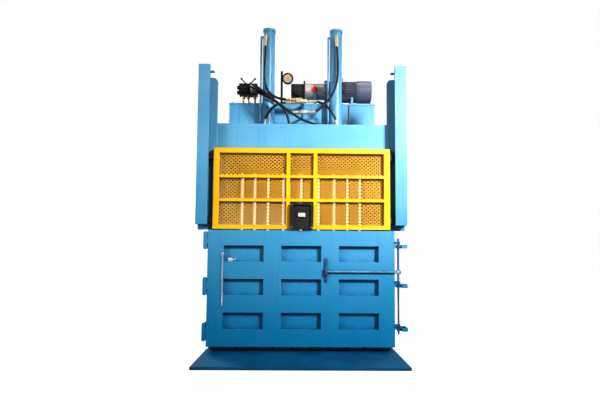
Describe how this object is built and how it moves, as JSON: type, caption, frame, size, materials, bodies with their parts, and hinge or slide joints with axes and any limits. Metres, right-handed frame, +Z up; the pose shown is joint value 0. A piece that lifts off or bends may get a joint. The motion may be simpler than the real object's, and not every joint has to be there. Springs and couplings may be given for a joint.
{
  "type": "recycling baler",
  "caption": "Vertical twin-ram recycling baler: blue chamber with a swing door, yellow mesh lift gate on guide posts, and a hydraulic power pack on top.",
  "frame": {"origin": "on the floor, midway between the side walls, under the head", "axes": "+Z up, the door and the gate face -Y, +X to the right of someone facing the door"},
  "size_m": [2.004, 1.965, 3.412],
  "materials": {
    "blue_paint": "satin",
    "yellow_paint": "satin",
    "black_paint": "satin",
    "grey_paint": "satin",
    "cast_aluminium": "rough",
    "bright_steel": "satin",
    "rod_chrome": "polished",
    "brass": "satin",
    "hose_rubber": "matte",
    "red_plastic": "matte",
    "black_plastic": "matte",
    "pale_plastic": "matte",
    "pump_iron": "rough"
  },
  "bodies": {
    "root": {"base_plate": "blue_paint", "floor_bars": "blue_paint", "left_side_wall": "blue_paint", "right_side_wall": "blue_paint", "rear_wall": "blue_paint", "front_beam": "blue_paint", "head_walls": "blue_paint", "head_deck": "blue_paint", "left_guide_post": "blue_paint", "right_guide_post": "blue_paint", "hinge_frame_knuckles": "blue_paint", "hinge_pins": "bright_steel", "lock_keepers": "bright_steel", "oil_tank": "blue_paint", "tank_lid": "blue_paint", "tank_breather": "black_plastic", "cylinder_barrels": "blue_paint", "cylinder_caps": "blue_paint", "rod_glands": "bright_steel", "hard_lines": "blue_paint", "port_elbows": "bright_steel", "motor_housing": "grey_paint", "fan_cover": "grey_paint", "terminal_box": "grey_paint", "bell_housing": "cast_aluminium", "inspection_plug": "red_plastic", "pump_body": "pump_iron", "pressure_gauge": "black_paint", "valve_block": "black_paint", "valve_fittings": "brass", "hose_manifolds": "brass", "deck_fittings": "bright_steel", "left_cap_hose": "hose_rubber", "right_cap_hose": "hose_rubber", "upper_supply_hose": "hose_rubber", "lower_supply_hose": "hose_rubber", "left_rod_hose": "hose_rubber", "right_rod_hose": "hose_rubber", "drain_hose": "hose_rubber", "return_hose": "hose_rubber"},
    "platen": {"platen": "blue_paint", "piston_rods": "rod_chrome", "pistons": "bright_steel"},
    "gate": {"gate_frame": "yellow_paint", "gate_mesh": "yellow_paint", "gate_shoes": "black_plastic", "latch_case": "black_plastic"},
    "latch": {"latch_paddle": "pale_plastic"},
    "door": {"door_shell": "blue_paint", "door_liner": "blue_paint", "hinge_door_knuckles": "blue_paint", "door_lock_brackets": "bright_steel", "door_chain": "bright_steel"},
    "lock": {"lock_shaft": "bright_steel", "lock_lever": "bright_steel"},
    "left_horn": {"left_valve_lever": "black_paint"},
    "right_horn": {"right_valve_lever": "black_paint"},
    "drive": {"drive_rotor": "bright_steel", "cooling_fan": "black_plastic", "shaft_coupling": "bright_steel"}
  },
  "joints": [
    {"name": "platen_slide", "type": "slide", "parent": "root", "child": "platen", "axis": [0, 0, -1], "range_m": [0, 0.95]},
    {"name": "gate_lift", "type": "slide", "parent": "root", "child": "gate", "axis": [0, 0, 1], "range_m": [0, 0.78]},
    {"name": "latch_pull", "type": "hinge", "parent": "gate", "child": "latch", "pos_m": [0, -0.732, 1.318], "axis": [1, 0, 0], "range_deg": [-35, 0], "stiffness_Nm_per_rad": 0.5},
    {"name": "door_hinge", "type": "hinge", "parent": "root", "child": "door", "pos_m": [-0.908, -0.69, 0.628], "axis": [0, 0, -1], "range_deg": [0, 110]},
    {"name": "lock_turn", "type": "hinge", "parent": "door", "child": "lock", "pos_m": [0.92, -0.69, 0.64], "axis": [0, 0, 1], "range_deg": [0, 100]},
    {"name": "left_horn_tilt", "type": "hinge", "parent": "root", "child": "left_horn", "pos_m": [-0.644, 0.16, 2.875], "axis": [0, 1, 0], "range_deg": [-12, 12], "stiffness_Nm_per_rad": 4},
    {"name": "right_horn_tilt", "type": "hinge", "parent": "root", "child": "right_horn", "pos_m": [-0.595, 0.16, 2.875], "axis": [0, 1, 0], "range_deg": [-12, 12], "stiffness_Nm_per_rad": 4},
    {"name": "drive_spin", "type": "hinge", "parent": "root", "child": "drive", "pos_m": [0.29, 0.29, 2.833], "axis": [1, 0, 0], "continuous": true}
  ]
}
